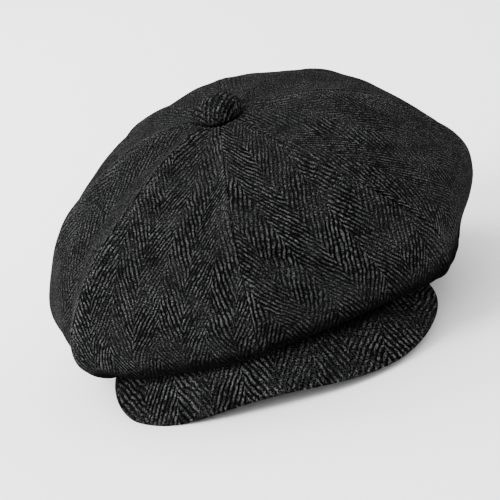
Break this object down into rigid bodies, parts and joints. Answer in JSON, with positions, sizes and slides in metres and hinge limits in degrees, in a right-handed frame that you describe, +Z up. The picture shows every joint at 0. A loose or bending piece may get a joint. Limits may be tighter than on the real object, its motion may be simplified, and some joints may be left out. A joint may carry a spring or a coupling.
{
  "type": "newsboy cap",
  "caption": "Full gored wool cap with a short stiff visor tucked under the crown, a cloth-covered top button, a lining and a sweatband.",
  "frame": {"origin": "centre of the head opening, in the plane of the headband's lower edge", "axes": "+Z up through the crown, +Y from the visor towards the back of the head, +X to the right of the cap seen from the front"},
  "size_m": [0.2787, 0.2906, 0.1639],
  "materials": {
    "tweed": "charcoal herringbone wool",
    "lining_satin": "black satin",
    "buckram": "stiff woven interlining",
    "ribbon": "black ribbed ribbon",
    "label_cloth": "plain woven label, blank",
    "board": "smooth visor board",
    "button_metal": "pressed"
  },
  "bodies": {
    "cap": {"crown_panel_front_right": "tweed", "crown_panel_side_front_right": "tweed", "crown_panel_side_back_right": "tweed", "crown_panel_back_right": "tweed", "crown_panel_back_left": "tweed", "crown_panel_side_back_left": "tweed", "crown_panel_side_front_left": "tweed", "crown_panel_front_left": "tweed", "lining_panel_front_right": "lining_satin", "lining_panel_back_right": "lining_satin", "lining_panel_back_left": "lining_satin", "lining_panel_front_left": "lining_satin", "headband": "tweed", "band_stiffener": "buckram", "sweatband": "ribbon", "size_label": "label_cloth", "button_cover": "tweed", "button_shell": "button_metal", "button_back": "button_metal", "button_washer": "button_metal"},
    "visor": {"visor_board": "board", "visor_top_cover": "tweed", "visor_under_cover": "tweed"}
  },
  "joints": [
    {"name": "visor_flex", "type": "hinge", "parent": "cap", "child": "visor", "pos_m": [0, -0.086, 0.0073], "axis": [1, 0, 0], "range_deg": [-2, 3.5], "stiffness_Nm_per_rad": 0.8}
  ]
}
